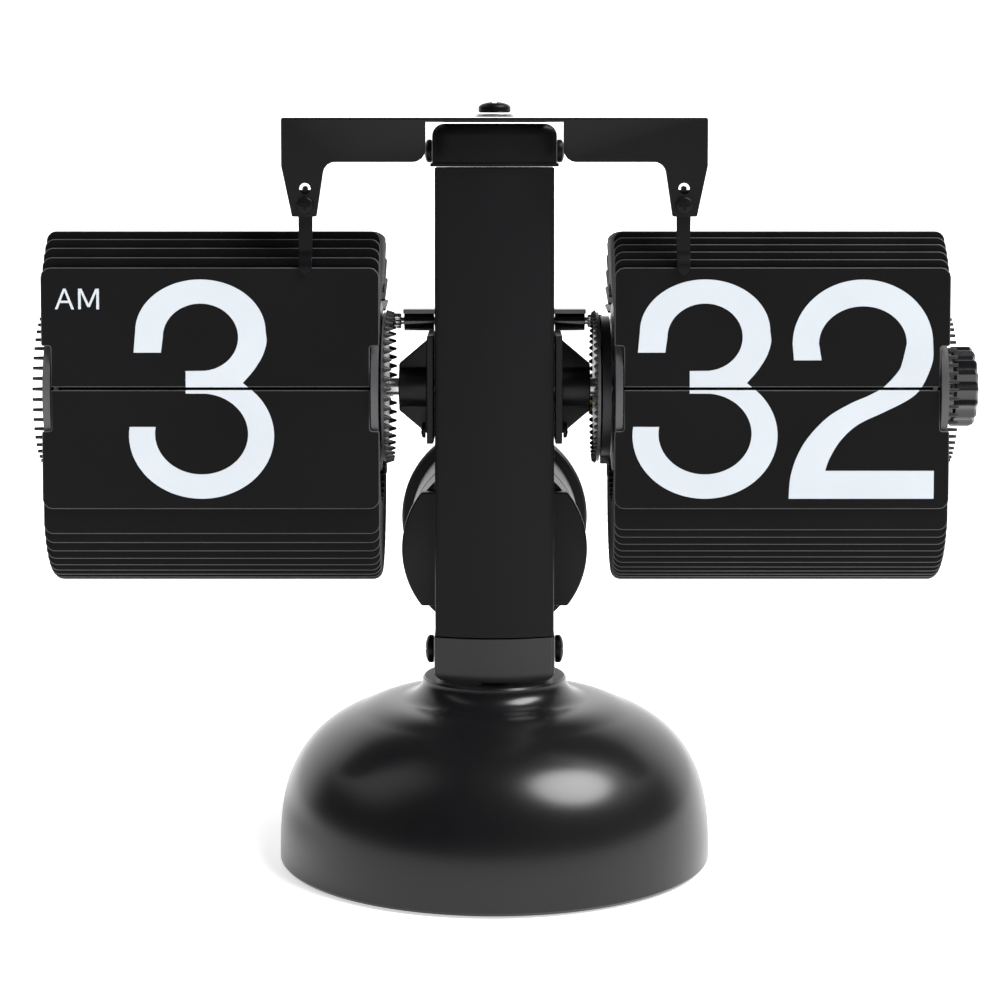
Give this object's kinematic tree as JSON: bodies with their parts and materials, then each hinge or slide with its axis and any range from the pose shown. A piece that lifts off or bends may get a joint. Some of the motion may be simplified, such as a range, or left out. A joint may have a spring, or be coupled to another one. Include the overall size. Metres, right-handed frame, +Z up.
{
  "type": "flip number clock",
  "caption": "Free-standing flip number clock: a bell-shaped weighted base, a square column and two drums of hinged number leaves on one axle, driven by gears.",
  "frame": {"origin": "centre of the flat resting face under the base", "axes": "+Z up the column, +X along the drum axle towards the knob, and -Y towards the numbers"},
  "size_m": [0.1992, 0.1084, 0.1635],
  "materials": {
    "gloss_black": "high gloss moulded black",
    "satin_black": "satin black anodised",
    "black_metal": "satin black painted sheet",
    "matte_black": "fine matte black",
    "leaf_black": "thin satin black sheet with white printed numbers",
    "grey_plastic": "dark grey moulded",
    "steel": "plated",
    "brass": "turned",
    "iron": "as cast",
    "rubber": "soft pad",
    "board": "laminated circuit board"
  },
  "bodies": {
    "stand": {"base_shell": "gloss_black", "column_tube": "satin_black", "lower_clamp": "satin_black", "upper_cap": "satin_black", "cap_screw": "satin_black", "finger_left": "satin_black", "finger_right": "satin_black", "finger_screw_left": "satin_black", "finger_screw_right": "satin_black", "finger_stud_left": "satin_black", "finger_stud_right": "satin_black", "arm_bracket": "black_metal", "motor_plate": "black_metal", "left_gusset": "matte_black", "right_gusset": "matte_black", "rod_bracket": "matte_black", "movement_case": "matte_black", "movement_cover": "matte_black", "battery_tube": "matte_black", "battery_ring": "matte_black", "hour_bottom_leaf": "leaf_black", "hour_upper_leaves": "leaf_black", "hour_lower_leaves": "leaf_black", "minute_bottom_leaf": "leaf_black", "minute_upper_leaves": "leaf_black", "minute_lower_leaves": "leaf_black", "base_bolt": "steel", "cap_washer": "steel", "cap_side_screw_left": "steel", "cap_side_screw_right": "steel", "clamp_screw_left": "steel", "clamp_screw_right": "steel", "left_gusset_screw": "steel", "right_gusset_screw": "steel", "motor_can": "steel", "contact_spring": "steel", "drive_bush": "brass", "contact_plate": "brass", "base_weight": "iron", "base_pad": "rubber", "circuit_board": "board"},
    "minute_drum": {"main_axle": "steel", "minute_inner_disc": "grey_plastic", "minute_outer_disc": "grey_plastic", "minute_hub": "matte_black", "minute_drive_gear": "grey_plastic", "minute_transfer_wheel": "grey_plastic", "minute_knob": "matte_black", "knob_screw": "steel"},
    "hour_drum": {"hour_outer_disc": "grey_plastic", "hour_inner_disc": "grey_plastic", "hour_hub": "matte_black", "hour_gear": "grey_plastic"},
    "transfer": {"transfer_rod": "steel", "left_transfer_pinion": "steel", "right_transfer_pinion": "steel"},
    "drive": {"drive_shaft": "steel", "drive_pinion": "brass"},
    "minute_leaf": {"minute_top_leaf": "leaf_black"},
    "hour_leaf": {"hour_top_leaf": "leaf_black"}
  },
  "joints": [
    {"name": "minute_spin", "type": "hinge", "parent": "stand", "child": "minute_drum", "pos_m": [0, 0, 0.1024], "axis": [1, 0, 0], "continuous": true},
    {"name": "hour_spin", "type": "hinge", "parent": "stand", "child": "hour_drum", "pos_m": [0, 0, 0.1024], "axis": [1, 0, 0], "continuous": true},
    {"name": "transfer_spin", "type": "hinge", "parent": "stand", "child": "transfer", "pos_m": [0, 0.0123, 0.11568], "axis": [1, 0, 0], "continuous": true},
    {"name": "drive_spin", "type": "hinge", "parent": "stand", "child": "drive", "pos_m": [0, 0.01822, 0.09796], "axis": [1, 0, 0], "continuous": true},
    {"name": "minute_leaf_flip", "type": "hinge", "parent": "stand", "child": "minute_leaf", "pos_m": [0.06, -0.0172, 0.1036], "axis": [1, 0, 0], "range_deg": [0, 178]},
    {"name": "hour_leaf_flip", "type": "hinge", "parent": "stand", "child": "hour_leaf", "pos_m": [-0.05925, -0.0172, 0.1036], "axis": [1, 0, 0], "range_deg": [0, 178]}
  ],
  "couplings": [
    {"joint": "hour_spin", "follows": "minute_spin", "ratio": 0.041667},
    {"joint": "transfer_spin", "follows": "minute_spin", "ratio": -0.33333},
    {"joint": "drive_spin", "follows": "minute_spin", "ratio": -6}
  ]
}
